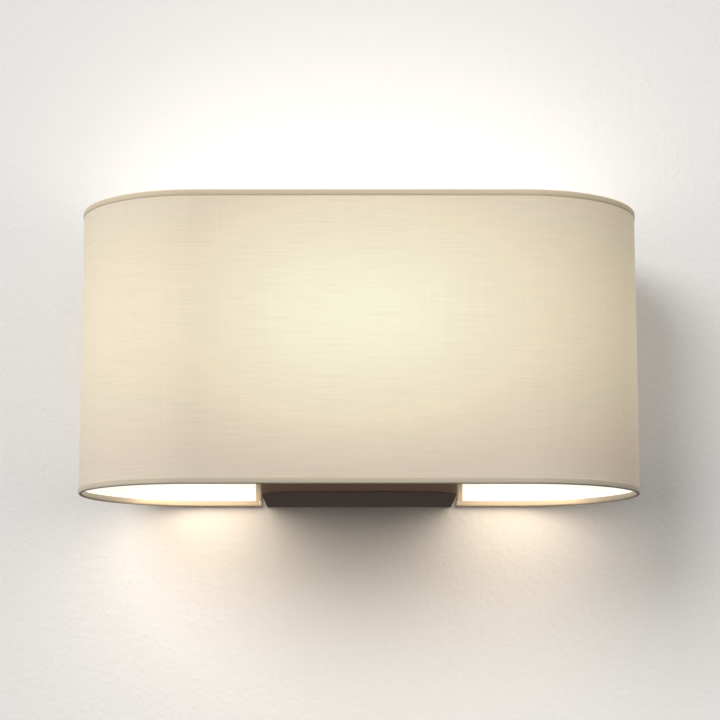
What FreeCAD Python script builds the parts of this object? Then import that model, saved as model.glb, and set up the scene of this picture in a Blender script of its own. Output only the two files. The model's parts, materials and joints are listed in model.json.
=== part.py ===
"""Wall light with a straight-sided fabric shade, round at both ends, on a flat bronze block.

Frame: millimetres, +Z up, +Y into the wall. The origin is on the wall face of the fixing
plate, midway between its two screw slots. The shade stands in front of the wall and its
back is cut away at the bottom, so that it drops over the block.
"""
import FreeCAD, Part
import math
import os

V = FreeCAD.Vector
UP = V(0, 0, 1)
DOWN = V(0, 0, -1)
ACROSS = V(1, 0, 0)
TO_WALL = V(0, 1, 0)

# ---- Driving dimensions -------------------------------------------------------------

# Shade: plan with straight front and back and a half circle at each end
SHADE_WIDTH = 350.0
SHADE_DEPTH = 152.0
SHADE_HEIGHT = 179.0
WALL_GAP = 2.0
FABRIC = 0.4
LINING = 0.5
TRIM = 0.25
TRIM_HEIGHT = 4.0
RING_RADIUS = 0.75
TRIM_BORE = 0.9

# Cut-out in the back of the shade, clear size inside its trim
CUTOUT_WIDTH = 128.4
CUTOUT_HEIGHT = 36.0
CUTOUT_CORNER = 6.0

# Block on the wall: a casing with a big radius on its two front corners
BLOCK_WIDTH = 122.0
BLOCK_DEPTH = 104.0
BLOCK_HEIGHT = 30.0
BLOCK_CORNER = 25.0
CASING = 1.6
CASING_EDGE = 0.8

# Fixing plate and what it carries
PLATE = 1.5
PLATE_WIDTH = 117.8
PLATE_HEIGHT = 25.6
EAR_DEPTH = 16.0
FIXING_SPACING = 80.0
SLOT_LENGTH = 10.0
SLOT_WIDTH = 4.5
CABLE_X = 17.0
CABLE_BORE = 4.5
COVER_SCREW_Y = -8.0
EARTH_X = -51.0
SHELF_Z = -7.5

# Terminal strip: three poles side by side
POLE_PITCH = 10.0
EARTH_POLE_X = -22.0
STRIP_DEPTH = 17.0
STRIP_HEIGHT = 14.0
STRIP_FRONT_Y = -29.0
LEAD_RADIUS = 0.8

# Lampholders (small Edison screw), lamps and shade rings
LAMP_SPACING = 66.0
HOLDER_RADIUS = 13.6
HOLDER_HEIGHT = 40.0
NIPPLE_RADIUS = 4.9
NIPPLE_BORE = 3.5
GLOBE_RADIUS = 22.5
GLASS = 0.8
COLLAR_RADIUS = 12.2
LAMP_TIP = 16.5
COLLAR_TOP = 53.0

# Shade carrier: stamped plate clamped on the lampholders, four wire arms up to the top ring
CARRIER = 1.5
CARRIER_LEVEL = 19.0
ARM_RADIUS = 1.5
ARM_BEND = 10.0

# ---- Worked-out places --------------------------------------------------------------

END_RADIUS = SHADE_DEPTH / 2
STRAIGHT = SHADE_WIDTH / 2 - END_RADIUS
SHADE_Y = -(WALL_GAP + END_RADIUS)
FRONT_Y = SHADE_Y - END_RADIUS
BACK_Y = SHADE_Y + END_RADIUS
BLOCK_TOP = BLOCK_HEIGHT / 2
BLOCK_BOTTOM = -BLOCK_TOP
SHADE_BOTTOM = BLOCK_BOTTOM
SHADE_TOP = SHADE_BOTTOM + SHADE_HEIGHT
LAMINATE = FABRIC + LINING
ROLL_RADIUS = TRIM_BORE + TRIM
ROLL_CENTRE = ROLL_RADIUS - TRIM
LAMINATE_SETBACK = ROLL_RADIUS + TRIM_BORE + 0.1
CUTOUT_HALF = CUTOUT_WIDTH / 2
CUTOUT_TOP = SHADE_BOTTOM + CUTOUT_HEIGHT
SIDES = {"left": -1, "right": 1}


# ---- Small helpers ------------------------------------------------------------------

def box(x0, x1, y0, y1, z0, z1):
    """Block between two corners, given as ranges along each axis."""
    return Part.makeBox(x1 - x0, y1 - y0, z1 - z0, V(x0, y0, z0))


def fused(solids):
    """One clean solid from several that touch or overlap."""
    first = solids[0]
    return first.multiFuse(solids[1:]).removeSplitter()


def polygon_face(points):
    """Flat face inside a closed run of straight edges."""
    return Part.Face(Part.makePolygon(list(points) + [points[0]]))


def turned(profile, x, y, level=0.0):
    """Solid turned about an upright axis at (x, y) from a profile of (radius, height)."""
    face = polygon_face([V(x + r, y, level + z) for r, z in profile])
    return face.revolve(V(x, y, 0), UP, 360)


def cylinder(radius, start, direction, length):
    return Part.makeCylinder(radius, length, start, direction)


def bent_rod(points, radius, bend):
    """Round rod through corner points, each corner bent to one radius."""
    edges = []
    last = points[0]
    for before, corner, after in zip(points, points[1:], points[2:]):
        way_in = (corner - before).normalize()
        way_out = (after - corner).normalize()
        turn = way_in.getAngle(way_out)
        reach = bend * math.tan(turn / 2)
        start = corner - way_in * reach
        end = corner + way_out * reach
        inward = (way_out - way_in).normalize()
        middle = corner + inward * (bend / math.cos(turn / 2) - bend)
        edges.append(Part.LineSegment(last, start).toShape())
        edges.append(Part.Arc(start, middle, end).toShape())
        last = end
    edges.append(Part.LineSegment(last, points[-1]).toShape())
    path = Part.Wire(edges)
    section = Part.Wire(Part.makeCircle(radius, points[0], points[1] - points[0]))
    return path.makePipeShell([section], True, False)


# ---- Shade --------------------------------------------------------------------------

def shade_plan(inset, z):
    """The shade's plan outline, drawn in by an inset from the fabric's outer face."""
    radius = END_RADIUS - inset
    corners = [V(s * STRAIGHT, SHADE_Y + t * radius, z) for s, t in ((-1, -1), (1, -1), (1, 1), (-1, 1))]
    right = V(STRAIGHT + radius, SHADE_Y, z)
    left = V(-STRAIGHT - radius, SHADE_Y, z)
    return Part.Wire([
        Part.LineSegment(corners[0], corners[1]).toShape(),
        Part.Arc(corners[1], right, corners[2]).toShape(),
        Part.LineSegment(corners[2], corners[3]).toShape(),
        Part.Arc(corners[3], left, corners[0]).toShape(),
    ])


def cutout_block(grow):
    """Block with two round top corners that opens the back of the shade."""
    half = CUTOUT_HALF + grow
    block = box(-half, half, SHADE_Y, 1.0, SHADE_BOTTOM - 1.0, CUTOUT_TOP + grow)
    top_corners = [
        edge for edge in block.Edges
        if abs(edge.tangentAt(edge.FirstParameter).y) > 0.9 and edge.CenterOfMass.z > SHADE_BOTTOM
    ]
    return block.makeFillet(CUTOUT_CORNER + grow, top_corners)


def shade_wall(inset, thickness):
    """One layer of the shade: an upright wall on the plan, cut away at the back."""
    low = SHADE_BOTTOM + LAMINATE_SETBACK
    height = SHADE_HEIGHT - 2 * LAMINATE_SETBACK
    outer = Part.Face(shade_plan(inset, low)).extrude(UP * height)
    inner = Part.Face(shade_plan(inset + thickness, low)).extrude(UP * height)
    return outer.cut(inner).cut(cutout_block(LAMINATE_SETBACK))


def trim_section():
    """Section of the edge trim: (inward from the fabric's face, away from the finished edge).

    The tape laps the fabric outside, rolls round the ring and slants back to the lining.
    """
    def around(radius, degrees):
        angle = math.radians(degrees)
        return (ROLL_CENTRE + radius * math.cos(angle), ROLL_RADIUS + radius * math.sin(angle))

    outer_roll = [around(ROLL_RADIUS, degrees) for degrees in (180, 225, 270, 315, 360)]
    inner_roll = [around(TRIM_BORE, degrees) for degrees in (360, 300, 240, 180)]
    outer_lap = (-TRIM, TRIM_HEIGHT)
    inner_lap = [(LAMINATE + TRIM, TRIM_HEIGHT), (LAMINATE, TRIM_HEIGHT)]
    return [outer_lap] + outer_roll + inner_lap + inner_roll + [(0.0, TRIM_HEIGHT)]


def front_section(x, edge_z, way):
    """Trim section standing on the shade's front, its edge at edge_z."""
    return polygon_face([V(x, FRONT_Y + s, edge_z + way * h) for s, h in trim_section()])


def back_section(x, edge_z, way):
    """The same section on the shade's back."""
    return polygon_face([V(x, BACK_Y - s, edge_z + way * h) for s, h in trim_section()])


def rim_trim(edge_z, way, back_gap):
    """Trim along a whole rim; back_gap is half the length left open at the back."""
    runs = [front_section(-STRAIGHT, edge_z, way).extrude(ACROSS * (2 * STRAIGHT))]
    for side, axis in ((-1, DOWN), (1, UP)):
        section = front_section(side * STRAIGHT, edge_z, way)
        runs.append(section.revolve(V(side * STRAIGHT, SHADE_Y, 0), axis, 180))
        back = back_section(side * STRAIGHT, edge_z, way)
        runs.append(back.extrude(ACROSS * (-side * (STRAIGHT - back_gap))))
    return fused(runs)


def cutout_trim():
    """Trim up one side of the cut-out, round its corners and down the other side."""
    foot = SHADE_BOTTOM + TRIM_HEIGHT
    spring = CUTOUT_TOP - CUTOUT_CORNER
    reach = CUTOUT_HALF - CUTOUT_CORNER
    runs = [back_section(-reach, CUTOUT_TOP, 1).extrude(ACROSS * (2 * reach))]
    for side, axis in ((-1, V(0, -1, 0)), (1, TO_WALL)):
        upright = polygon_face(
            [V(side * (CUTOUT_HALF + h), BACK_Y - s, foot) for s, h in trim_section()]
        )
        runs.append(upright.extrude(UP * (spring - foot)))
        corner = back_section(side * reach, CUTOUT_TOP, 1)
        runs.append(corner.revolve(V(side * reach, 0, spring), axis, 90))
    return fused(runs)


def rim_ring(z, back_gap):
    """Ring wire inside a rim's trim, open at the back where the cut-out is."""
    front = FRONT_Y + ROLL_CENTRE
    back = BACK_Y - ROLL_CENTRE
    runs = [cylinder(RING_RADIUS, V(-STRAIGHT, front, z), ACROSS, 2 * STRAIGHT)]
    for side, axis in ((-1, DOWN), (1, UP)):
        circle = Part.Face(Part.Wire(Part.makeCircle(RING_RADIUS, V(side * STRAIGHT, front, z), ACROSS)))
        runs.append(circle.revolve(V(side * STRAIGHT, SHADE_Y, 0), axis, 180))
        start = V(side * STRAIGHT, back, z)
        runs.append(cylinder(RING_RADIUS, start, ACROSS * -side, STRAIGHT - back_gap))
    return fused(runs)


def cutout_ring():
    """Wire hoop round the cut-out, its feet welded on the bottom ring."""
    y = BACK_Y - ROLL_CENTRE
    x = CUTOUT_HALF + ROLL_RADIUS
    foot = SHADE_BOTTOM + ROLL_RADIUS + RING_RADIUS
    top = CUTOUT_TOP + ROLL_RADIUS
    points = [V(-x, y, foot), V(-x, y, top), V(x, y, top), V(x, y, foot)]
    return bent_rod(points, RING_RADIUS, CUTOUT_CORNER + ROLL_RADIUS)


# ---- Shade carrier ------------------------------------------------------------------

def carrier_direction(side, depth_side):
    """Level direction from a lampholder to where an arm meets the top ring."""
    way = V(side * (STRAIGHT - LAMP_SPACING / 2), depth_side * (END_RADIUS - LAMINATE), 0)
    return way.normalize()


def carrier_plate():
    """Stamped plate: two fitter rings, the bridge between them and four welding tabs."""
    low = BLOCK_TOP + CARRIER_LEVEL
    bridge_half = 9.0
    disc = 22.0
    tab_reach = 33.0
    tab_half = 4.5
    hole = HOLDER_RADIUS + 0.7
    x = LAMP_SPACING / 2
    solids = [box(-x, x, SHADE_Y - bridge_half, SHADE_Y + bridge_half, low, low + CARRIER)]
    for side in (-1, 1):
        centre = V(side * x, SHADE_Y, low)
        solids.append(cylinder(disc, centre, UP, CARRIER))
        for depth_side in (-1, 1):
            way = carrier_direction(side, depth_side)
            across = V(-way.y, way.x, 0) * tab_half
            tip = centre + way * tab_reach
            tab = polygon_face([centre - across, tip - across, tip + across, centre + across])
            solids.append(tab.extrude(UP * CARRIER))
            solids.append(cylinder(tab_half, tip, UP, CARRIER))
    plate = fused(solids)
    for side in (-1, 1):
        plate = plate.cut(cylinder(hole, V(side * x, SHADE_Y, low - 1), UP, CARRIER + 2))
    return plate


def carrier_arm(side, depth_side, ring):
    """Wire arm from a tab of the plate, up to the underside of the top ring."""
    way = carrier_direction(side, depth_side)
    centre = V(side * LAMP_SPACING / 2, SHADE_Y, 0)
    low = BLOCK_TOP + CARRIER_LEVEL + CARRIER + ARM_RADIUS
    high = SHADE_TOP - ROLL_RADIUS - RING_RADIUS - ARM_RADIUS
    reach = (END_RADIUS - LAMINATE - 1.3) / abs(way.y)
    route = ((22.0, low), (42.0, low), (82.0, high), (reach, high))
    points = [centre + way * distance + UP * z for distance, z in route]
    return bent_rod(points, ARM_RADIUS, ARM_BEND).cut(ring)


# ---- Block on the wall --------------------------------------------------------------

def block_form(inset, open_back):
    """The block's outline drawn in by an inset, as a solid that may run past its back."""
    half = BLOCK_WIDTH / 2 - inset
    front = -BLOCK_DEPTH + inset
    corner = BLOCK_CORNER - inset
    slant = corner * (1 - math.sqrt(0.5))
    low = BLOCK_BOTTOM + inset
    height = BLOCK_HEIGHT - 2 * inset

    def at(x, y):
        return V(x, y, low)

    outline = Part.Wire([
        Part.LineSegment(at(-half, open_back), at(-half, front + corner)).toShape(),
        Part.Arc(at(-half, front + corner), at(-half + slant, front + slant), at(-half + corner, front)).toShape(),
        Part.LineSegment(at(-half + corner, front), at(half - corner, front)).toShape(),
        Part.Arc(at(half - corner, front), at(half - slant, front + slant), at(half, front + corner)).toShape(),
        Part.LineSegment(at(half, front + corner), at(half, open_back)).toShape(),
        Part.LineSegment(at(half, open_back), at(-half, open_back)).toShape(),
    ])
    return Part.Face(outline).extrude(UP * height)


def block_cover():
    """Casing open to the wall, with softened edges, two nipple holes and two screw holes."""
    outer = block_form(0.0, 0.0)
    rim_edges = [
        edge for edge in outer.Edges
        if edge.BoundBox.ZLength < 0.01 and edge.CenterOfMass.y < -0.01
    ]
    shell = outer.makeFillet(CASING_EDGE, rim_edges).cut(block_form(CASING, 1.0))
    for side in (-1, 1):
        nipple_hole = V(side * LAMP_SPACING / 2, SHADE_Y, BLOCK_TOP - 2 * CASING)
        shell = shell.cut(cylinder(NIPPLE_RADIUS + 0.2, nipple_hole, UP, 4 * CASING))
        screw_hole = V(side * (BLOCK_WIDTH / 2 - 2 * CASING), COVER_SCREW_Y, 0)
        shell = shell.cut(cylinder(2.15, screw_hole, ACROSS * side, 4 * CASING))
    return shell


def wall_plate():
    """Folded fixing plate: ears for the cover screws, two slots, cable hole, terminal shelf."""
    half = PLATE_WIDTH / 2
    high = PLATE_HEIGHT / 2
    fold = 3.0
    blank = box(-half, half, -EAR_DEPTH, 0, -high, high)
    blank = blank.makeFillet(fold, [e for e in blank.Edges if e.CenterOfMass.y > -0.01 and e.BoundBox.ZLength > 1])
    hollow = box(-half + PLATE, half - PLATE, -EAR_DEPTH - 1, -PLATE, -high - 1, high + 1)
    hollow = hollow.makeFillet(
        fold - PLATE,
        [e for e in hollow.Edges if abs(e.CenterOfMass.y + PLATE) < 0.01 and e.BoundBox.ZLength > 1]
    )
    plate = blank.cut(hollow)
    shelf_half = 1.5 * POLE_PITCH + 1.0
    shelf_x = EARTH_POLE_X + POLE_PITCH
    shelf_top = SHELF_Z
    shelf = box(shelf_x - shelf_half, shelf_x + shelf_half, STRIP_FRONT_Y - 1, -PLATE / 2, shelf_top - PLATE, shelf_top)
    plate = fused([plate, shelf])
    for side in (-1, 1):
        x = side * FIXING_SPACING / 2
        flat = (SLOT_LENGTH - SLOT_WIDTH) / 2
        slot = box(x - flat, x + flat, -3, 1, -SLOT_WIDTH / 2, SLOT_WIDTH / 2)
        ends = [cylinder(SLOT_WIDTH / 2, V(x + e * flat, -3, 0), TO_WALL, 4) for e in (-1, 1)]
        plate = plate.cut(fused([slot] + ends))
        thread = V(side * (half + 1), COVER_SCREW_Y, 0)
        plate = plate.cut(cylinder(2.05, thread, ACROSS * -side, 4))
    plate = plate.cut(cylinder(8.0, V(CABLE_X, -3, 0), TO_WALL, 4))
    return plate.cut(cylinder(2.05, V(EARTH_X, -3, 0), TO_WALL, 4))


def hex_socket(centre, way, depth):
    """Hexagon socket of a screw head, across flats 2.5 mm, cut inwards from its face."""
    radius = 2.5 / math.sqrt(3)
    side = way.cross(UP).normalize()
    corners = []
    for step in range(6):
        angle = math.radians(60 * step)
        corners.append(centre + side * (radius * math.cos(angle)) + UP * (radius * math.sin(angle)))
    return polygon_face(corners).extrude(way * -depth)


def cover_screws():
    """Two low button-head screws that hold the cover to the ears of the plate."""
    screws = []
    for side in (-1, 1):
        face = side * BLOCK_WIDTH / 2
        way = ACROSS * side
        shank = cylinder(2.0, V(face - side * 5.0, COVER_SCREW_Y, 0), way, 5.0)
        head = cylinder(3.6, V(face, COVER_SCREW_Y, 0), way, 0.9)
        crown = Part.makeCone(3.6, 2.4, 1.1, V(face + side * 0.9, COVER_SCREW_Y, 0), way)
        screw = fused([shank, head, crown])
        screws.append(screw.cut(hex_socket(V(face + side * 2.1, COVER_SCREW_Y, 0), way, 1.3)))
    return Part.Compound(screws)


def cable_bush():
    """Bush that lines the cable hole: a neck in the plate and a flange inside it."""
    flange = cylinder(10.5, V(CABLE_X, -PLATE - 1.5, 0), TO_WALL, 1.5)
    neck = cylinder(7.9, V(CABLE_X, -PLATE, 0), TO_WALL, PLATE)
    bore = cylinder(CABLE_BORE, V(CABLE_X, -5, 0), TO_WALL, 8)
    bush = flange.fuse(neck).cut(bore)
    lip = [e for e in bush.Edges if abs(e.BoundBox.XLength - 21.0) < 0.1 and e.CenterOfMass.y < -PLATE - 1.4]
    return bush.makeFillet(0.9, lip)


# ---- Wiring -------------------------------------------------------------------------

def pole_x(number):
    return EARTH_POLE_X + POLE_PITCH * number


def terminal_strip():
    """Moulded strip: three poles with scalloped gaps, wire bores and screw wells."""
    low = SHELF_Z
    back = STRIP_FRONT_Y + STRIP_DEPTH
    body = box(pole_x(0) - 4.9, pole_x(2) + 4.9, STRIP_FRONT_Y, back, low, low + STRIP_HEIGHT)
    ridge = [e for e in body.Edges if e.CenterOfMass.z > low + STRIP_HEIGHT - 0.1 and e.BoundBox.XLength > 20]
    body = body.makeChamfer(2.5, ridge)
    for number in (0, 1):
        x = pole_x(number) + POLE_PITCH / 2
        body = body.cut(box(x - 0.8, x + 0.8, STRIP_FRONT_Y - 1, back + 1, 1.5, low + STRIP_HEIGHT + 1))
    for number in range(3):
        x = pole_x(number)
        body = body.cut(cylinder(2.9, V(x, STRIP_FRONT_Y - 1, -1.0), TO_WALL, STRIP_DEPTH + 2))
        for y in terminal_screw_rows():
            body = body.cut(cylinder(2.3, V(x, y, 0), UP, STRIP_HEIGHT))
    return body


def terminal_screw_rows():
    middle = STRIP_FRONT_Y + STRIP_DEPTH / 2
    return (middle - 4.2, middle + 4.2)


def terminal_tubes():
    """Three brass tubes that the wires are clamped in."""
    tubes = []
    for number in range(3):
        start = V(pole_x(number), STRIP_FRONT_Y + 1.0, -1.0)
        length = STRIP_DEPTH - 2.0
        tube = cylinder(2.8, start, TO_WALL, length).cut(cylinder(1.95, start, TO_WALL, length))
        tubes.append(tube)
    return Part.Compound(tubes)


def terminal_screws():
    """Six clamping screws with a slot, standing on the tubes."""
    screws = []
    for number in range(3):
        for y in terminal_screw_rows():
            x = pole_x(number)
            screw = cylinder(1.9, V(x, y, 1.9), UP, 2.6)
            screws.append(screw.cut(box(x - 0.35, x + 0.35, y - 3, y + 3, 3.7, 6)))
    return Part.Compound(screws)


def earth_screw():
    """Pan-head earth screw through the tag into the plate."""
    shank = cylinder(2.0, V(EARTH_X, -4.0, 0), TO_WALL, 3.9)
    head = cylinder(3.5, V(EARTH_X, -4.6, 0), TO_WALL, 2.2)
    slot = box(EARTH_X - 4, EARTH_X + 4, -5, -3.7, -0.4, 0.4)
    return shank.fuse(head).cut(slot)


def earth_tag():
    """Ring tag under the earth screw, with a crimped barrel turned away from the wall."""
    ring = cylinder(4.2, V(EARTH_X, -2.3, 0), TO_WALL, 0.8)
    tail = box(EARTH_X - 1.8, EARTH_X + 1.8, -2.3, -1.5, -8.4, -2)
    barrel = cylinder(1.6, V(EARTH_X, -9.0, -7.0), TO_WALL, 7.0)
    tag = fused([ring, tail, barrel])
    tag = tag.cut(cylinder(2.1, V(EARTH_X, -3, 0), TO_WALL, 3))
    return tag.cut(cylinder(LEAD_RADIUS + 0.05, V(EARTH_X, -10, -7.0), TO_WALL, 5.0))


def earth_lead():
    """Earth lead from the tag, in one loop round to the first pole."""
    x = pole_x(0)
    points = [
        V(EARTH_X, -6.0, -7.0),
        V(EARTH_X, -26.0, -7.0),
        V(EARTH_X + 9, -44.0, -5.0),
        V(x, -48.0, -1.0),
        V(x, STRIP_FRONT_Y + 3.0, -1.0),
    ]
    return bent_rod(points, LEAD_RADIUS, 7.0)


def lamp_lead(side, pole, level, offset, stack):
    """Lead from a pole, level across the block, then up through a nipple to its lampholder."""
    start = pole_x(pole)
    x = side * LAMP_SPACING / 2
    y = SHADE_Y + offset
    points = [
        V(start, STRIP_FRONT_Y + 3.0, -1.0 + stack),
        V(start, STRIP_FRONT_Y - 10.0, -1.0 + stack),
        V(start + (x - start) * 0.45, STRIP_FRONT_Y - 26.0, level),
        V(x, y, level),
        V(x, y, BLOCK_TOP + 11.9),
    ]
    return bent_rod(points, LEAD_RADIUS, 5.0)


# ---- Lampholders, rings and lamps ---------------------------------------------------

def holder_body(x):
    """Holder body: base boss, flared shoulder and the long skirt that the rings ride on."""
    r = HOLDER_RADIUS
    profile = [
        (5.0, 0.0), (11.0, 0.0), (11.8, 0.8), (11.8, 6.0), (r, 11.0), (r, HOLDER_HEIGHT - 0.6),
        (r - 0.6, HOLDER_HEIGHT), (11.4, HOLDER_HEIGHT), (11.4, 12.0), (9.0, 12.0), (9.0, 8.0), (5.0, 8.0),
    ]
    return turned(profile, x, SHADE_Y, BLOCK_TOP)


def holder_insert(x):
    """Ceramic cup inside the body, which carries the screw shell."""
    profile = [(0.0, 12.0), (11.3, 12.0), (11.3, 35.0), (7.8, 35.0), (7.8, 15.0), (0.0, 15.0)]
    return turned(profile, x, SHADE_Y, BLOCK_TOP)


def holder_screw_shell(x):
    """Metal shell that the lamp screws into, with a flange on the ceramic's rim."""
    profile = [(7.2, 18.0), (7.7, 18.0), (7.7, 35.0), (9.0, 35.0), (9.0, 35.4), (7.2, 35.4)]
    return turned(profile, x, SHADE_Y, BLOCK_TOP)


def holder_contact(x):
    """Sprung tongue under the lamp's tip."""
    low = BLOCK_TOP + 15.0
    line = [(-6.0, 0.0), (-2.5, 0.0), (-0.8, 0.8), (2.4, 0.8), (2.4, 1.2), (-1.0, 1.2), (-2.7, 0.4), (-6.0, 0.4)]
    face = polygon_face([V(x + dx, SHADE_Y - 2.0, low + dz) for dx, dz in line])
    return face.extrude(TO_WALL * 4.0)


def nipple(x):
    """Hollow threaded nipple that ties the lampholder to the top of the cover."""
    low = BLOCK_TOP - 7.0
    return turned([(NIPPLE_BORE, 0), (NIPPLE_RADIUS, 0), (NIPPLE_RADIUS, 14.8), (NIPPLE_BORE, 14.8)], x, SHADE_Y, low)


def locknut(x):
    """Hexagon nut on the nipple, drawn up under the top of the cover."""
    high = BLOCK_TOP - CASING
    radius = 7.0 / math.cos(math.radians(30))
    corners = []
    for step in range(6):
        angle = math.radians(60 * step)
        corners.append(V(x + radius * math.cos(angle), SHADE_Y + radius * math.sin(angle), high - 3.5))
    nut = polygon_face(corners).extrude(UP * 3.5)
    return nut.cut(cylinder(NIPPLE_RADIUS + 0.05, V(x, SHADE_Y, high - 5), UP, 6))


def shade_ring(x, way):
    """Flanged ring on the holder's skirt; way 1 stands on the carrier, way -1 hangs below it."""
    bore = HOLDER_RADIUS + 0.1
    face = BLOCK_TOP + CARRIER_LEVEL + (CARRIER if way > 0 else 0.0)
    profile = [(bore, 0.0), (19.5, 0.0), (19.5, 1.1), (16.4, 1.1), (16.0, 5.6), (bore, 5.6)]
    points = [V(x + r, SHADE_Y, face + way * z) for r, z in profile]
    ring = polygon_face(points).revolve(V(x, SHADE_Y, 0), UP, 360)
    for step in range(8):
        angle = math.radians(45 * step + 22.5)
        foot = V(x + 16.9 * math.cos(angle), SHADE_Y + 16.9 * math.sin(angle), face + way * 1.1)
        ring = ring.cut(cylinder(1.3, foot, UP * way, 6))
    return ring


def lamp_cap(x):
    """Screw cap of the lamp, a thin shell that flares to the collar."""
    profile = [
        (5.65, 20.9), (6.9, 22.3), (6.9, 37.6), (8.3, 39.2), (8.3, 40.0),
        (8.0, 40.0), (8.0, 39.3), (6.6, 37.7), (6.6, 22.6), (5.65, 21.6),
    ]
    return turned(profile, x, SHADE_Y, BLOCK_TOP)


def lamp_cap_insulator(x):
    """Black glass cone that closes the bottom of the cap."""
    profile = [(0.0, 18.2), (3.0, 18.2), (5.6, 20.8), (5.6, 22.0), (0.0, 22.0)]
    return turned(profile, x, SHADE_Y, BLOCK_TOP)


def lamp_cap_contact(x):
    """Solder tip of the lamp."""
    profile = [(0.0, LAMP_TIP), (1.6, LAMP_TIP), (2.5, LAMP_TIP + 0.6), (2.5, 18.2), (0.0, 18.2)]
    return turned(profile, x, SHADE_Y, BLOCK_TOP)


def lamp_collar(x):
    """Moulded collar that swells from the cap to the globe."""
    profile = [
        (0.0, 40.0), (8.3, 40.0), (8.7, 42.5), (9.7, 46.5), (11.4, 50.8),
        (COLLAR_RADIUS, COLLAR_TOP), (0.0, COLLAR_TOP),
    ]
    return turned(profile, x, SHADE_Y, BLOCK_TOP)


def lamp_globe(x):
    """Opal glass globe, a thin ball that is open where it sits on the collar."""
    centre = COLLAR_TOP + math.sqrt(GLOBE_RADIUS ** 2 - COLLAR_RADIUS ** 2)

    def meridian(radius):
        """Top, a middle point and foot of the ball's curve at a radius."""
        foot = math.asin((COLLAR_TOP - centre) / radius)
        middle = (foot + math.pi / 2) / 2
        spots = [(radius * math.cos(a), centre + radius * math.sin(a)) for a in (math.pi / 2, middle, foot)]
        return [V(x + r, SHADE_Y, BLOCK_TOP + z) for r, z in spots]

    outside = meridian(GLOBE_RADIUS)
    inside = meridian(GLOBE_RADIUS - GLASS)
    outline = Part.Wire([
        Part.Arc(outside[0], outside[1], outside[2]).toShape(),
        Part.LineSegment(outside[2], inside[2]).toShape(),
        Part.Arc(inside[2], inside[1], inside[0]).toShape(),
        Part.LineSegment(inside[0], outside[0]).toShape(),
    ])
    return Part.Face(outline).revolve(V(x, SHADE_Y, 0), UP, 360)


# ---- All the pieces -----------------------------------------------------------------

def shade_pieces():
    """Fabric, lining, rings, trims and carrier."""
    top_ring = rim_ring(SHADE_TOP - ROLL_RADIUS, 0.0)
    bottom_ring = rim_ring(SHADE_BOTTOM + ROLL_RADIUS, CUTOUT_HALF + 0.2)
    hoop = cutout_ring()
    arms = {}
    for side_name, side in SIDES.items():
        for depth_name, depth_side in (("front", -1), ("back", 1)):
            arms["carrier_arm_" + depth_name + "_" + side_name] = carrier_arm(side, depth_side, top_ring)
    top_trim = rim_trim(SHADE_TOP, -1, 0.0)
    for arm in arms.values():
        top_trim = top_trim.cut(arm)
    return {
        "shade_fabric": shade_wall(0.0, FABRIC),
        "shade_lining": shade_wall(FABRIC, LINING),
        "top_ring": top_ring,
        "bottom_ring": bottom_ring,
        "cutout_hoop": hoop,
        "top_trim": top_trim,
        "bottom_trim": rim_trim(SHADE_BOTTOM, 1, CUTOUT_HALF).cut(hoop),
        "cutout_trim": cutout_trim(),
        "carrier_plate": carrier_plate(),
        **arms,
    }


def block_pieces():
    """Cover, fixing plate and their fastenings."""
    return {
        "block_cover": block_cover(),
        "wall_plate": wall_plate(),
        "cover_screws": cover_screws(),
        "cable_bush": cable_bush(),
    }


def wiring_pieces():
    """Terminal strip, earth and the leads to both lampholders."""
    pieces = {
        "terminal_strip": terminal_strip(),
        "terminal_tubes": terminal_tubes(),
        "terminal_screws": terminal_screws(),
        "earth_screw": earth_screw(),
        "earth_tag": earth_tag(),
        "earth_lead": earth_lead(),
    }
    for name, side in SIDES.items():
        pieces["live_lead_" + name] = lamp_lead(side, 1, 2.0, 1.3, side * 0.9)
        pieces["neutral_lead_" + name] = lamp_lead(side, 2, -5.0, -1.3, side * 0.9)
    return pieces


def lamp_pieces():
    """A lampholder, its fastenings and a lamp on each side."""
    pieces = {}
    for name, side in SIDES.items():
        x = side * LAMP_SPACING / 2
        pieces["nipple_" + name] = nipple(x)
        pieces["locknut_" + name] = locknut(x)
        pieces["lampholder_" + name] = holder_body(x)
        pieces["lampholder_insert_" + name] = holder_insert(x)
        pieces["lampholder_shell_" + name] = holder_screw_shell(x)
        pieces["lampholder_contact_" + name] = holder_contact(x)
        pieces["lower_shade_ring_" + name] = shade_ring(x, -1)
        pieces["upper_shade_ring_" + name] = shade_ring(x, 1)
        pieces["lamp_globe_" + name] = lamp_globe(x)
        pieces["lamp_collar_" + name] = lamp_collar(x)
        pieces["lamp_cap_" + name] = lamp_cap(x)
        pieces["lamp_cap_insulator_" + name] = lamp_cap_insulator(x)
        pieces["lamp_cap_contact_" + name] = lamp_cap_contact(x)
    return pieces


def main():
    os.makedirs("parts", exist_ok=True)
    pieces = {}
    for group in (shade_pieces(), block_pieces(), wiring_pieces(), lamp_pieces()):
        pieces.update(group)
    for name, shape in pieces.items():
        shape.exportStep("parts/" + name + ".step")
        print(name, "valid" if shape.isValid() else "NOT VALID", len(shape.Solids), "solid",
              round(shape.Volume, 1), "mm3")
    print(len(pieces), "nodes")


main()
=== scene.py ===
# %% [markdown]
# # A wall light with a fabric shade
#
# The light has three groups of pieces. A casing on the wall holds the wiring and two lampholders.
# A wire carrier stands on the lampholders. The fabric shade hangs on the carrier by its top ring.
# The CAD frame gives every metal and moulded piece at its real size. This notebook makes the cloth
# pieces, the screw threads and the weld beads, and gives everything its finish. Lengths are
# metres, unless a comment says millimetres.

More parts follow.
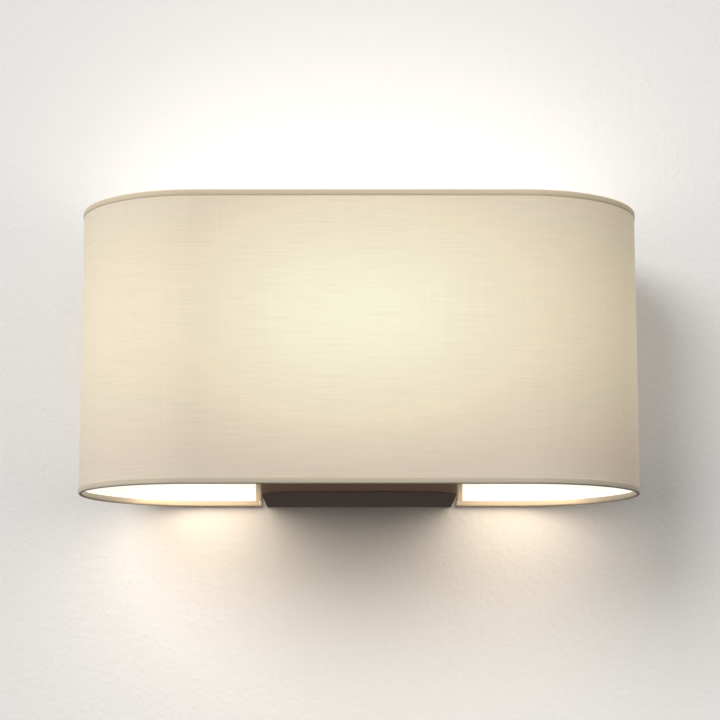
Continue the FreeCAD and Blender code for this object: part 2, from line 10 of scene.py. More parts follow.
# %% Load the frame
import bmesh
import bpy
import json
import math
import numpy as np
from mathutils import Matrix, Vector


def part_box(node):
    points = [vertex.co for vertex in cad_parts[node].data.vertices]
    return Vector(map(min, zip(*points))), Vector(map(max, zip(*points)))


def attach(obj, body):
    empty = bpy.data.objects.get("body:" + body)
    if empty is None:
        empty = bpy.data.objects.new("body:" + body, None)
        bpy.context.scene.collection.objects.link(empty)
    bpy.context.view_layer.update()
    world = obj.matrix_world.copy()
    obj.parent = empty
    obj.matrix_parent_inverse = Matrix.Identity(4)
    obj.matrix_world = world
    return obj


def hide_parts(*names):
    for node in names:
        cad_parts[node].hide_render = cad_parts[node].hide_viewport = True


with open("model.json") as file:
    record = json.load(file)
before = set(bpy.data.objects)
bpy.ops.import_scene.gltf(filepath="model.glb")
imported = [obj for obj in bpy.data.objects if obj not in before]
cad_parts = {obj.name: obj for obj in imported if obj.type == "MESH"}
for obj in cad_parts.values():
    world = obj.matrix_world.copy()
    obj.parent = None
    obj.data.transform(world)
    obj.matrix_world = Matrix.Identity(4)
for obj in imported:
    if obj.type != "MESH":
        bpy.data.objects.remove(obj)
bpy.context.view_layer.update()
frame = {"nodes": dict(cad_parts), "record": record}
nodes = frame["nodes"]
SIDES = ("left", "right")

# %% [markdown]
# ## Camera
#
# The light is seen from a little below, straight on, with a long lens. The camera comes first,
# so that every later step can be looked at from the same place.

# %% Camera
CAMERA_PLACE = (0.00054, -1.4618, -0.1473)
CAMERA_TILT = math.radians(98.97)
SENSOR_MM = 36.0
LENS_MM = 110.85

lens = bpy.data.cameras.new("camera")
lens.sensor_width = SENSOR_MM
lens.lens = LENS_MM
camera = bpy.data.objects.new("camera", lens)
camera.location = CAMERA_PLACE
camera.rotation_euler = (CAMERA_TILT, 0.0, 0.0)
bpy.context.scene.collection.objects.link(camera)
bpy.context.scene.camera = camera
print("camera at", CAMERA_PLACE)

# %% [markdown]
# ## Sizes
#
# The shade's plan has a straight front and back and a half circle at each end. Its sizes come
# from the frame, so that the cloth lies where the CAD shade is. The roll of the edge tape is
# given here once, because the cloth stops short of the finished edge by the same amount.

# %% Sizes from the frame
MM = 0.001
FABRIC = 0.4 * MM
LINING = 0.5 * MM
TAPE = 0.25 * MM
TAPE_HEIGHT = 4.0 * MM
WIRE_BORE = 0.9 * MM
SMALL_GAP = 0.1 * MM
ROLL = WIRE_BORE + TAPE
SETBACK = ROLL + WIRE_BORE + SMALL_GAP
CUTOUT_CORNER = 6.0 * MM

cloth_low, cloth_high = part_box("shade_fabric")
END_RADIUS = (cloth_high.y - cloth_low.y) / 2
STRAIGHT = (cloth_high.x - cloth_low.x) / 2 - END_RADIUS
SHADE_Y = (cloth_high.y + cloth_low.y) / 2
BACK_Y = cloth_high.y
AROUND = 4 * STRAIGHT + 2 * math.pi * END_RADIUS
rim_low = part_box("bottom_trim")[0].z
rim_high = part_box("top_trim")[1].z
cutout_trim_low, cutout_trim_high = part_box("cutout_trim")
CUTOUT_HALF = cutout_trim_high.x - TAPE_HEIGHT
CUTOUT_TOP = cutout_trim_high.z - TAPE_HEIGHT
lamp_centres = [sum(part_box("lamp_globe_" + side), Vector()) / 2 for side in SIDES]
print("cloth once round:", round(AROUND, 4), "m, shade", round(rim_high - rim_low, 4), "m high")

# %% [markdown]
# ## Helpers for meshes
#
# A piece that doesn't come from the frame is a plain mesh. `new_piece` makes it from points and
# faces, and may give it a UV map in metres, which the woven finishes read. `outward` turns all
# faces of a closed piece to the outside; where the two ends of a piece meet, it can first merge
# their points.

# %% Mesh helpers
def new_piece(name, points, faces, uvs=None):
    mesh = bpy.data.meshes.new(name)
    mesh.from_pydata([tuple(p) for p in points], [], faces)
    if uvs is not None:
        layer = mesh.uv_layers.new(name="UVMap")
        for loop in mesh.loops:
            layer.data[loop.index].uv = uvs[loop.vertex_index]
    piece = bpy.data.objects.new(name, mesh)
    bpy.context.scene.collection.objects.link(piece)
    return piece


def outward(piece, merge=0.0):
    work = bmesh.new()
    work.from_mesh(piece.data)
    if merge:
        bmesh.ops.remove_doubles(work, verts=work.verts, dist=merge)
    bmesh.ops.recalc_face_normals(work, faces=work.faces)
    work.to_mesh(piece.data)
    work.free()


def shade_smooth(piece, angle=40.0):
    piece.data.shade_smooth()
    piece.data.set_sharp_from_angle(angle=math.radians(angle))


print("mesh helpers ready")

# %% [markdown]
# ## Helpers for node trees
#
# Geometry Nodes make what follows a rule: the wrap of the cloth round its rings, the screw
# threads, the welds. Each tree has named inputs for its sizes. `calculate` writes one sum into a
# tree. `run_tree` sets a modifier's inputs, keeps the result as a plain mesh and takes the
# modifier off again.

# %% Node helpers
def calculate(tree, operation, *values):
    node = tree.nodes.new("ShaderNodeMath")
    node.operation = operation
    for socket, value in zip(node.inputs, values):
        if isinstance(value, bpy.types.NodeSocket):
            tree.links.new(value, socket)
        else:
            socket.default_value = value
    return node.outputs[0]


def add_node(tree, kind, links=None, **settings):
    node = tree.nodes.new(kind)
    for name, value in settings.items():
        setattr(node, name, value)
    for socket, value in (links or {}).items():
        if isinstance(value, bpy.types.NodeSocket):
            tree.links.new(value, node.inputs[socket])
        else:
            node.inputs[socket].default_value = value
    return node


def new_tree(name, sizes):
    tree = bpy.data.node_groups.new(name, "GeometryNodeTree")
    tree.interface.new_socket("Geometry", in_out="INPUT", socket_type="NodeSocketGeometry")
    for label in sizes:
        tree.interface.new_socket(label, in_out="INPUT", socket_type="NodeSocketFloat")
    tree.interface.new_socket("Finish", in_out="INPUT", socket_type="NodeSocketMaterial")
    tree.interface.new_socket("Geometry", in_out="OUTPUT", socket_type="NodeSocketGeometry")
    return tree, tree.nodes.new("NodeGroupInput").outputs


def close_tree(tree, given, geometry):
    """Ends a tree as the export needs it: real geometry that carries its material."""
    real = add_node(tree, "GeometryNodeRealizeInstances", {"Geometry": geometry})
    painted = add_node(
        tree, "GeometryNodeSetMaterial", {"Geometry": real.outputs[0], "Material": given["Finish"]}
    )
    tree.links.new(painted.outputs[0], tree.nodes.new("NodeGroupOutput").inputs[0])


def run_tree(piece, tree, values):
    modifier = piece.modifiers.new(tree.name, "NODES")
    modifier.node_group = tree
    for item in tree.interface.items_tree:
        if item.in_out == "INPUT" and item.name in values:
            modifier[item.identifier] = values[item.name]
    depsgraph = bpy.context.evaluated_depsgraph_get()
    made = bpy.data.meshes.new_from_object(
        piece.evaluated_get(depsgraph), preserve_all_data_layers=True, depsgraph=depsgraph
    )
    piece.modifiers.clear()
    piece.data = made
    return piece


print("node helpers ready")

# %% [markdown]
# ## The surface of hard pieces
#
# No paint, plating or moulding is one flat colour. Seen close, the tone drifts a little, the
# gloss is uneven and there is a fine grain. The same effect is on every hard piece, at its own
# scale, so it is one shader node group. It only puts out a colour, a roughness and a height.

# %% Surface grain group
CLOUD_SCALE = 35.0


def new_group(name, inputs, outputs):
    tree = bpy.data.node_groups.new(name, "ShaderNodeTree")
    for label, kind in inputs:
        tree.interface.new_socket(label, in_out="INPUT", socket_type="NodeSocket" + kind)
    for label, kind in outputs:
        tree.interface.new_socket(label, in_out="OUTPUT", socket_type="NodeSocket" + kind)
    return tree, tree.nodes.new("NodeGroupInput").outputs, tree.nodes.new("NodeGroupOutput").inputs


def toned(tree, colour, factor):
    """A colour made darker or lighter by a factor."""
    values = {0: colour, "Scale": factor}
    return add_node(tree, "ShaderNodeVectorMath", values, operation="SCALE").outputs[0]


def noise(tree, vector, scale, detail=2.0):
    values = {"Vector": vector, "Scale": scale, "Detail": detail}
    return add_node(tree, "ShaderNodeTexNoise", values).outputs["Fac"]


def surface_grain_group():
    tree, given, result = new_group(
        "surface grain",
        [("Vector", "Vector"), ("Colour", "Color"), ("Grain", "Float"), ("Tone Change", "Float"),
         ("Roughness", "Float"), ("Roughness Change", "Float")],
        [("Colour", "Color"), ("Roughness", "Float"), ("Height", "Float")],
    )
    cloud = noise(tree, given["Vector"], CLOUD_SCALE)
    fine = noise(tree, given["Vector"], given["Grain"], 3.0)
    drift = calculate(tree, "SUBTRACT", calculate(tree, "ADD", cloud, fine), 1.0)
    tone = calculate(tree, "MULTIPLY_ADD", drift, given["Tone Change"], 1.0)
    uneven = calculate(tree, "SUBTRACT", fine, 0.5)
    gloss = calculate(tree, "MULTIPLY_ADD", uneven, given["Roughness Change"], given["Roughness"])
    tree.links.new(toned(tree, given["Colour"], tone), result["Colour"])
    tree.links.new(gloss, result["Roughness"])
    tree.links.new(fine, result["Height"])
    return tree


surface_grain = surface_grain_group()
print("group:", surface_grain.name)

# %% [markdown]
# ## Finishes of hard pieces
#
# One function makes them all: the grain group feeds colour, roughness and a low bump. What is
# the same all over, such as metallic or coat, is set on the shader itself. Turned and drawn
# pieces have their grain stretched along one axis by a Mapping node.

# %% Hard finishes
def hard_finish(name, colour, roughness, metallic=0.0, grain=900.0, tone=0.06, gloss=0.12,
                relief=0.00002, stretch=(1.0, 1.0, 1.0), **constants):
    material = bpy.data.materials.new(name)
    material.use_nodes = True
    tree = material.node_tree
    shader = tree.nodes["Principled BSDF"]
    place = add_node(tree, "ShaderNodeTexCoord").outputs["Object"]
    spread = add_node(tree, "ShaderNodeMapping", {"Vector": place, "Scale": stretch})
    values = {
        "Vector": spread.outputs[0], "Colour": (*colour, 1.0), "Grain": grain, "Tone Change": tone,
        "Roughness": roughness, "Roughness Change": gloss,
    }
    group = add_node(tree, "ShaderNodeGroup", values, node_tree=surface_grain)
    height = group.outputs["Height"]
    bump = add_node(tree, "ShaderNodeBump", {"Height": height, "Distance": relief, "Strength": 0.6})
    tree.links.new(group.outputs["Colour"], shader.inputs["Base Color"])
    tree.links.new(group.outputs["Roughness"], shader.inputs["Roughness"])
    tree.links.new(bump.outputs[0], shader.inputs["Normal"])
    shader.inputs["Metallic"].default_value = metallic
    for label, value in constants.items():
        shader.inputs[label.replace("_", " ")].default_value = value
    return material


TURNED = (1.0, 1.0, 12.0)
finishes = {
    "ring_wire": hard_finish("white powder coat on wire", (0.84, 0.83, 0.80), 0.42, grain=1800.0),
    "carrier_white": hard_finish("white powder coat", (0.84, 0.83, 0.80), 0.40, grain=1600.0),
    "bronze_finish": hard_finish(
        "dark bronze lacquer", (0.140, 0.088, 0.067), 0.70, grain=2600.0, tone=0.10, gloss=0.10,
        relief=0.00003, Specular_IOR_Level=0.02
    ),
    "bronze_screws": hard_finish("dark bronze screw", (0.075, 0.058, 0.048), 0.36, metallic=0.6),
    "plated_steel": hard_finish(
        "zinc plated steel", (0.62, 0.62, 0.60), 0.32, metallic=1.0, grain=420.0, tone=0.14, gloss=0.2
    ),
    "plated_screws": hard_finish("zinc plated screw", (0.66, 0.65, 0.62), 0.28, metallic=1.0, tone=0.12),
    "rubber_bush": hard_finish("soft black bush", (0.022, 0.022, 0.022), 0.62, grain=1500.0, tone=0.2),
    "terminal_plastic": hard_finish(
        "natural nylon", (0.78, 0.77, 0.70), 0.40, grain=700.0, Subsurface_Weight=0.15,
        Subsurface_Scale=0.002
    ),
    "brass": hard_finish("bright brass", (0.78, 0.56, 0.24), 0.26, metallic=1.0, stretch=TURNED),
    "earth_insulation": hard_finish("green sleeve", (0.20, 0.42, 0.06), 0.42, grain=1400.0),
    "live_insulation": hard_finish("brown sleeve", (0.16, 0.065, 0.025), 0.42, grain=1400.0),
    "neutral_insulation": hard_finish("blue sleeve", (0.03, 0.12, 0.42), 0.42, grain=1400.0),
    "holder_plastic": hard_finish(
        "white heat-proof moulding", (0.83, 0.82, 0.78), 0.34, grain=1200.0, tone=0.04, Coat_Weight=0.15
    ),
    "ceramic": hard_finish(
        "glazed ceramic", (0.86, 0.85, 0.81), 0.18, grain=260.0, tone=0.05, Coat_Weight=0.5
    ),
    "nickel_shell": hard_finish("nickel plate", (0.70, 0.67, 0.60), 0.22, metallic=1.0, stretch=TURNED),
    "collar_plastic": hard_finish(
        "gloss white moulding", (0.86, 0.86, 0.84), 0.22, tone=0.03, Coat_Weight=0.3
    ),
    "lamp_cap_metal": hard_finish(
        "rolled aluminium", (0.76, 0.76, 0.74), 0.28, metallic=1.0, tone=0.10, stretch=TURNED
    ),
    "cap_glass_black": hard_finish("black glass", (0.012, 0.012, 0.014), 0.10, tone=0.2, Coat_Weight=0.6),
    "solder_tip": hard_finish(
        "tinned solder", (0.60, 0.60, 0.59), 0.34, metallic=1.0, grain=1800.0, tone=0.18
    ),
}
print(len(finishes), "hard finishes")

# %% [markdown]
# ## Lit opal glass
#
# The lamps are on. An opal globe spreads the light over its whole skin, a little weaker towards
# its neck where the glass turns down to the collar. The glow reads the height on the piece, so
# it stays on the globe when the lamp is unscrewed. `glow_by_height` works out such a colour and
# `shines` lets a finish give it off. The cloth finishes use them too.

# %% Opal glass
def glow_by_height(tree, low, high, colour_low, colour_high):
    """A glow that changes from one colour to another between two heights on the piece."""
    height = add_node(
        tree, "ShaderNodeSeparateXYZ", {0: add_node(tree, "ShaderNodeTexCoord").outputs["Object"]}
    ).outputs["Z"]
    share = add_node(tree, "ShaderNodeMapRange", {"Value": height, "From Min": low, "From Max": high})
    ramp = add_node(tree, "ShaderNodeValToRGB", {"Fac": share.outputs[0]})
    ramp.color_ramp.elements[0].color = (*colour_low, 1.0)
    ramp.color_ramp.elements[1].color = (*colour_high, 1.0)
    return ramp.outputs[0]


def shines(material, colour):
    shader = material.node_tree.nodes["Principled BSDF"]
    material.node_tree.links.new(colour, shader.inputs["Emission Color"])
    shader.inputs["Emission Strength"].default_value = 1.0
    return material


def opal_glass():
    low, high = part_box("lamp_globe_left")
    material = hard_finish(
        "lit opal glass", (0.26, 0.255, 0.24), 0.28, grain=500.0, tone=0.02, relief=0.000008
    )
    middle = (low.z + high.z) / 2
    neck, skin = (0.50, 0.36, 0.22), (0.72, 0.66, 0.54)
    return shines(material, glow_by_height(material.node_tree, low.z, middle, neck, skin))


finishes["opal_glass"] = opal_glass()
print("opal glass ready")

# %% [markdown]
# ## The woven cloth
#
# The shade cloth is a fine plain weave with slubs: thicker threads that show as thin level
# streaks, a centimetre or two long. The upright threads are fainter. The same cloth makes the
# edge tape, so the weave is one group. It reads the UV map in metres, so that the threads keep
# their real size and follow the cloth round the ends.

# %% Slub weave group
THREAD_PITCH = 0.45 * MM
SHORT_SHARE = 0.6
UPRIGHT_SHARE = 0.55
THREADS_MEAN = 0.78
CHECK_TONE = 0.03
SLUB_HEIGHT = 0.8
CHECK_HEIGHT = 0.35


def slub_weave_group():
    tree, given, result = new_group(
        "slub weave",
        [("Vector", "Vector"), ("Colour", "Color"), ("Slubs", "Float"), ("Threads", "Float")],
        [("Colour", "Color"), ("Height", "Float"), ("Tone", "Float")],
    )

    def streaks(along, across, detail):
        """Noise that changes so many times in a metre along the strip and in a metre up it."""
        values = {"Vector": given["Vector"], "Scale": (along, across, 1.0)}
        return noise(tree, add_node(tree, "ShaderNodeMapping", values).outputs[0], 1.0, detail)

    def ramped(value, low, high):
        return add_node(
            tree, "ShaderNodeMapRange", {"Value": value, "From Min": low, "From Max": high}
        ).outputs[0]

    long_slub = ramped(streaks(24.0, 1100.0, 2.0), 0.48, 0.82)
    short_slub = ramped(streaks(60.0, 1600.0, 1.0), 0.55, 0.85)
    level = streaks(34.0, 1900.0, 2.0)
    upright = streaks(1300.0, 16.0, 2.0)
    parts = add_node(tree, "ShaderNodeSeparateXYZ", {0: given["Vector"]}).outputs
    turn = 2 * math.pi / THREAD_PITCH
    over = calculate(tree, "SINE", calculate(tree, "MULTIPLY", parts["X"], turn))
    under = calculate(tree, "SINE", calculate(tree, "MULTIPLY", parts["Y"], turn))
    checks = calculate(tree, "MULTIPLY", over, under)
    slubs = calculate(tree, "MULTIPLY_ADD", short_slub, SHORT_SHARE, long_slub)
    threads = calculate(tree, "MULTIPLY_ADD", upright, UPRIGHT_SHARE, level)
    centred = calculate(tree, "SUBTRACT", threads, THREADS_MEAN)
    darker = calculate(tree, "MULTIPLY", slubs, given["Slubs"])
    tone = calculate(tree, "MULTIPLY_ADD", centred, given["Threads"], 1.0)
    tone = calculate(tree, "SUBTRACT", tone, darker)
    tone = calculate(tree, "MULTIPLY_ADD", checks, CHECK_TONE, tone)
    height = calculate(tree, "MULTIPLY_ADD", slubs, SLUB_HEIGHT, threads)
    height = calculate(tree, "MULTIPLY_ADD", checks, CHECK_HEIGHT, height)
    tree.links.new(toned(tree, given["Colour"], tone), result["Colour"])
    tree.links.new(height, result["Height"])
    tree.links.new(tone, result["Tone"])
    return tree


slub_weave = slub_weave_group()
print("group:", slub_weave.name)

# %% [markdown]
# ## Cloth finishes
#
# The cloth itself is a pale linen colour. The lamp light that comes through it is painted on as
# a glow, an emission colour. How much comes through is worked out later for each point and kept
# on the mesh as the attribute `lamp_light`; here it only picks a colour, warm where the light is
# weak and creamy where it is strong. The tape is doubled and lets hardly any light through: its
# painted glow is a little near the upper rim, none below the lamps. The white film inside has
# the lamp light that falls on it painted on as a glow too, most around the lampholders, fading
# towards the upper rim.

# %% Cloth finishes
CLOTH_RELIEF = 0.00008


def cloth_finish(name, colour, slubs, threads):
    material = bpy.data.materials.new(name)
    material.use_nodes = True
    tree = material.node_tree
    shader = tree.nodes["Principled BSDF"]
    flat_place = add_node(tree, "ShaderNodeUVMap", uv_map="UVMap").outputs[0]
    values = {"Vector": flat_place, "Colour": (*colour, 1.0), "Slubs": slubs, "Threads": threads}
    weave = add_node(tree, "ShaderNodeGroup", values, node_tree=slub_weave)
    values = {"Height": weave.outputs["Height"], "Distance": CLOTH_RELIEF, "Strength": 0.5}
    bump = add_node(tree, "ShaderNodeBump", values)
    tree.links.new(weave.outputs["Colour"], shader.inputs["Base Color"])
    tree.links.new(bump.outputs[0], shader.inputs["Normal"])
    shader.inputs["Roughness"].default_value = 0.88
    shader.inputs["Sheen Weight"].default_value = 0.12
    shader.inputs["Sheen Roughness"].default_value = 0.5
    return material, weave


# Painted glow of the cloth: the share of `lamp_light`, and the emission colour that stands for the lamp
# light coming through at that share.
GLOW_STEPS = (
    (0.00, (0.040, 0.024, 0.010)),
    (0.20, (0.124, 0.068, 0.026)),
    (0.45, (0.295, 0.235, 0.125)),
    (1.00, (0.410, 0.412, 0.262)),
)
FILM_GLOW_LOW = 20.0 * MM


# The lamp light through the cloth is painted on as an emission colour.
def lit_cloth():
    material, weave = cloth_finish("linen cloth with painted lamp glow", (0.600, 0.555, 0.475), 0.06, 0.14)
    tree = material.node_tree
    light = add_node(tree, "ShaderNodeAttribute", attribute_name="lamp_light").outputs["Fac"]
    ramp = add_node(tree, "ShaderNodeValToRGB", {"Fac": light})
    stops = ramp.color_ramp.elements
    while len(stops) < len(GLOW_STEPS):
        stops.new(0.5)
    for stop, (position, colour) in zip(stops, GLOW_STEPS):
        stop.position = position
        stop.color = (*colour, 1.0)
    return shines(material, toned(tree, ramp.outputs[0], weave.outputs["Tone"]))


# The little lamp light that comes through the tape is painted on as a glow by height.
def lit_tape():
    material, weave = cloth_finish("linen edge tape with painted glow", (0.560, 0.480, 0.370), 0.08, 0.18)
    tree = material.node_tree
    glow = glow_by_height(tree, lamp_centres[0].z, rim_high, (0.0, 0.0, 0.0), (0.090, 0.062, 0.025))
    return shines(material, toned(tree, glow, weave.outputs["Tone"]))


# The lamp light that falls on the film inside is painted on as a glow by height.
def lit_film():
    material = hard_finish(
        "white film with painted lamp light", (0.82, 0.81, 0.76), 0.45, grain=300.0, tone=0.02, relief=0.00001
    )
    full, faded = (0.58, 0.58, 0.54), (0.04, 0.035, 0.025)
    return shines(material, glow_by_height(material.node_tree, FILM_GLOW_LOW, rim_high, full, faded))


linen = lit_cloth()
tape_cloth = lit_tape()
film = lit_film()
print("cloth finishes:", ", ".join(made.name for made in (linen, tape_cloth, film)))

# %% [markdown]
# ## Paint the frame
#
# Each CAD piece names its material slot in the record, so one loop gives all of them their
# finish. The cloth slots are made below as new pieces.

# %% Paint the CAD pieces
for part in frame["record"]["subparts"]:
    finish = finishes.get(part["material_slot"])
    if finish:
        for slot in nodes[part["node"]].material_slots:
            slot.material = finish

# %% [markdown]
# ## Wrapping a flat pattern round the rings
#
# A shade maker cuts the shade flat and rolls it round the two rings. The tree does the same: a
# point of the flat piece has a place along the strip, a depth inwards and a height. It comes to
# lie on the straight front, round an end, or on the straight back. Working flat keeps the
# cut-out and the threads of the weave easy to draw.

# %% Wrap tree
def wrap_tree():
    tree, given = new_tree("wrap round rings", ("Straight", "End Radius", "Centre Y"))
    place = add_node(tree, "GeometryNodeInputPosition").outputs[0]
    flat = add_node(tree, "ShaderNodeSeparateXYZ", {0: place}).outputs
    side = calculate(tree, "SIGN", flat["X"])
    distance = calculate(tree, "ABSOLUTE", flat["X"])
    radius = calculate(tree, "SUBTRACT", given["End Radius"], flat["Y"])
    half_turn = calculate(tree, "MULTIPLY", given["End Radius"], math.pi)
    past_front = calculate(tree, "MAXIMUM", calculate(tree, "SUBTRACT", distance, given["Straight"]), 0.0)
    in_curve = calculate(tree, "MINIMUM", past_front, half_turn)
    angle = calculate(tree, "DIVIDE", in_curve, given["End Radius"])
    on_back = calculate(tree, "SUBTRACT", past_front, in_curve)
    on_front = calculate(tree, "MINIMUM", distance, given["Straight"])
    reach = calculate(tree, "MULTIPLY_ADD", calculate(tree, "SINE", angle), radius, on_front)
    x = calculate(tree, "MULTIPLY", calculate(tree, "SUBTRACT", reach, on_back), side)
    depth = calculate(tree, "MULTIPLY", calculate(tree, "COSINE", angle), radius)
    y = calculate(tree, "SUBTRACT", given["Centre Y"], depth)
    wrapped = add_node(tree, "ShaderNodeCombineXYZ", {"X": x, "Y": y, "Z": flat["Z"]}).outputs[0]
    moved = add_node(tree, "GeometryNodeSetPosition", {"Geometry": given["Geometry"], "Position": wrapped})
    close_tree(tree, given, moved.outputs[0])
    return tree


wrap = wrap_tree()


def wrapped(piece, material):
    """Rolls a flat piece round the rings and gives it its finish."""
    piece.data.materials.append(material)
    sizes = {"Straight": STRAIGHT, "End Radius": END_RADIUS, "Centre Y": SHADE_Y, "Finish": material}
    return run_tree(piece, wrap, sizes)


print("tree:", wrap.name)

# %% [markdown]
# ## Fabric and lining
#
# The flat strip has half of the cut-out at each end, so that the cut-out is whole when the ends
# meet at the back. Above it the fabric laps over itself by 8 mm, glued; the lap ends just short
# of the tapes above and below it. Columns of points run from the lower edge to the upper one; in
# the cut-out they start on its arch. The white film that the fabric is laminated to is made the
# same way, one layer further in.

# %% Flat pattern
LAP = 8.0 * MM
LAP_DEPTH = 1.1 * FABRIC
LAP_COLUMNS = (0.06, 0.35, 0.65, 1.0)
ROWS_ABOVE = 56
ROWS_BESIDE = 11
BODY_COLUMNS = 122
ARCH_COLUMNS = 20
HAIR = 0.001 * MM
HALF_ROUND = AROUND / 2
arch_half = CUTOUT_HALF + SETBACK
arch_top = CUTOUT_TOP + SETBACK
arch_corner = CUTOUT_CORNER + SETBACK
arch_spring = arch_top - arch_corner
strip_low = rim_low + SETBACK
strip_high = rim_high - SETBACK
lap_low = CUTOUT_TOP + TAPE_HEIGHT + SMALL_GAP
lap_high = rim_high - TAPE_HEIGHT - SMALL_GAP


def strip_stations(lap):
    """Places along the strip where a column of points stands, from end to end."""
    start = HALF_ROUND - arch_half
    corner = [start + arch_corner * (1 - math.cos(math.radians(a))) for a in range(0, 91, 10)]
    flat_end = list(np.linspace(start + arch_corner, HALF_ROUND, ARCH_COLUMNS))[1:]
    body = list(np.linspace(0.0, start, BODY_COLUMNS))
    right = body + corner[1:] + flat_end
    left = [-u for u in right[:0:-1]]
    over = [HALF_ROUND + lap * share for share in LAP_COLUMNS] if lap else []
    return left + right + over


def arch_height(from_seam):
    """Lower edge of the strip inside the cut-out, at a distance from the seam."""
    into_corner = abs(from_seam) - (arch_half - arch_corner)
    if into_corner <= 0:
        return arch_top
    return arch_spring + math.sqrt(max(arch_corner ** 2 - into_corner ** 2, 0.0))


def column_heights(u):
    """Heights of the points in the column that stands at u on the strip."""
    from_seam = HALF_ROUND - abs(u)
    if u > HALF_ROUND + HAIR:
        return list(np.linspace(lap_low, lap_high, ROWS_ABOVE + 1))
    if from_seam < arch_half - HAIR:
        return list(np.linspace(arch_height(from_seam), strip_high, ROWS_ABOVE + 1))
    beside = list(np.linspace(strip_low, arch_spring, ROWS_BESIDE + 1))
    return beside[:-1] + list(np.linspace(arch_spring, strip_high, ROWS_ABOVE + 1))


def flat_strip(name, inset, lap):
    points, columns, faces = [], [], []
    for u in strip_stations(lap):
        heights = column_heights(u)
        depth = inset - (LAP_DEPTH if u > HALF_ROUND + HAIR else 0.0)
        columns.append(list(range(len(points), len(points) + len(heights))))
        points += [(u, depth, z) for z in heights]
    for near, far in zip(columns, columns[1:]):
        rows = min(len(near), len(far))
        a, b = near[-rows:], far[-rows:]
        faces += [(a[i], b[i], b[i + 1], a[i + 1]) for i in range(rows - 1)]
    return new_piece(name, points, faces, [(p[0], p[2]) for p in points])


def shade_layer(name, inset, thickness, lap, material):
    sheet = flat_strip(name, inset, lap)
    solid = sheet.modifiers.new("thickness", "SOLIDIFY")
    solid.thickness = thickness
    solid.offset = -1.0
    wrapped(sheet, material)
    shade_smooth(sheet)
    return sheet


fabric = shade_layer("fabric", 0.0, FABRIC, LAP, linen)
lining = shade_layer("lining_film", FABRIC, LINING, 0.0, film)
print("fabric faces:", len(fabric.data.polygons), "lining faces:", len(lining.data.polygons))

# %% [markdown]
# ## How much light comes through
#
# For each point of the fabric the light of both lamps is added up: it falls with the square of
# the distance and with the slant at which it meets the cloth. A share is bounced around inside
# the white shade and lands everywhere. Towards the two open edges some of the light gets out
# and is taken off. The result is kept on the mesh from 0 to 1.

# %% Lamp light on the fabric
BOUNCED = 0.20
LOST_BELOW = 0.60
LOST_ABOVE = 0.25


def plan_normal(points):
    """Outward direction of the shade's plan at each point."""
    out = np.zeros_like(points)
    beyond = np.clip(np.abs(points[:, 0]) - STRAIGHT, 0.0, None) * np.sign(points[:, 0])
    out[:, 0] = beyond
    out[:, 1] = points[:, 1] - SHADE_Y
    return out / np.maximum(np.linalg.norm(out, axis=1), 1e-9)[:, None]


def lamp_light(piece):
    points = np.array([v.co for v in piece.data.vertices], float)
    normals = plan_normal(points)
    light = np.zeros(len(points))
    for centre in lamp_centres:
        way = points - np.array(centre)
        length = np.linalg.norm(way, axis=1)
        light += np.clip((way * normals).sum(1), 0.0, None) / length ** 3
    light /= light.max()
    light = BOUNCED + (1 - BOUNCED) * light
    lamp_z = lamp_centres[0].z
    below = np.clip((lamp_z - points[:, 2]) / (lamp_z - rim_low), 0.0, 1.0)
    above = np.clip((points[:, 2] - lamp_z) / (rim_high - lamp_z), 0.0, 1.0)
    return light * (1 - LOST_BELOW * below ** 2 - LOST_ABOVE * above ** 2)


light = lamp_light(fabric)
attribute = fabric.data.attributes.new("lamp_light", "FLOAT", "POINT")
attribute.data.foreach_set("value", light.astype(np.float32))
print("lamp light from", round(float(light.min()), 3), "to", round(float(light.max()), 3))

# %% [markdown]
# ## Edge tape
#
# Each raw edge is covered by a narrow tape of the same cloth. It laps the fabric outside, rolls
# round the ring wire and comes up inside. One section is swept along three paths: the two rims,
# which are drawn flat and then wrapped, and the edge of the cut-out on the flat back.

# %% Tape section and sweep
ROLL_STEPS = 14
EDGE_OUTSIDE = 0.12 * MM
EDGE_INSIDE = 0.1 * MM


def tape_section():
    """Closed section as (inward from the fabric's face, away from the finished edge)."""
    middle = ROLL - TAPE

    def round_wire(radius, start, end):
        turns = [math.radians(a) for a in np.linspace(start, end, ROLL_STEPS)]
        return [(middle + radius * math.cos(a), ROLL + radius * math.sin(a)) for a in turns]

    lap_end = TAPE_HEIGHT
    cloth = FABRIC + LINING
    outside = [(-TAPE * 0.55, lap_end), (-TAPE, lap_end - EDGE_OUTSIDE), (-TAPE, (lap_end + ROLL) / 2)]
    inside_lap = [(cloth + TAPE, lap_end - EDGE_INSIDE), (cloth + TAPE * 0.5, lap_end)]
    inner = [(cloth, lap_end)] + round_wire(WIRE_BORE, 360, 180) + [(0.0, lap_end)]
    return outside + round_wire(ROLL, 180, 360) + inside_lap + inner


def swept(name, stations, closed):
    """Sweeps the tape's section. A station is (distance, origin, inward axis, away axis)."""
    section = tape_section()
    around = np.concatenate([[0.0], np.cumsum(np.linalg.norm(np.diff(np.array(section), axis=0), axis=1))])
    points, uvs, faces = [], [], []
    for distance, origin, inward, away in stations:
        for (s, h), along in zip(section, around):
            points.append(Vector(origin) + Vector(inward) * s + Vector(away) * h)
            uvs.append((distance, along))
    count = len(section)
    for step in range(len(stations) - 1):
        for i in range(count):
            a, b = step * count + i, step * count + (i + 1) % count
            faces.append((a, b, b + count, a + count))
    if not closed:
        faces.append(tuple(range(count)))
        faces.append(tuple(range(len(points) - count, len(points))))
    return new_piece(name, points, faces, uvs)


section_length = sum(math.dist(a, b) for a, b in zip(tape_section(), tape_section()[1:])) / 2
print("tape is about", round(section_length * 1000, 1), "mm wide")

# %% Rim tapes and cut-out tape
RIM_STATIONS = 300
SIDE_STATIONS = 12
TOP_STATIONS = 40
SEAM_MERGE = 0.00001
TAPE_SHARP = 50.0


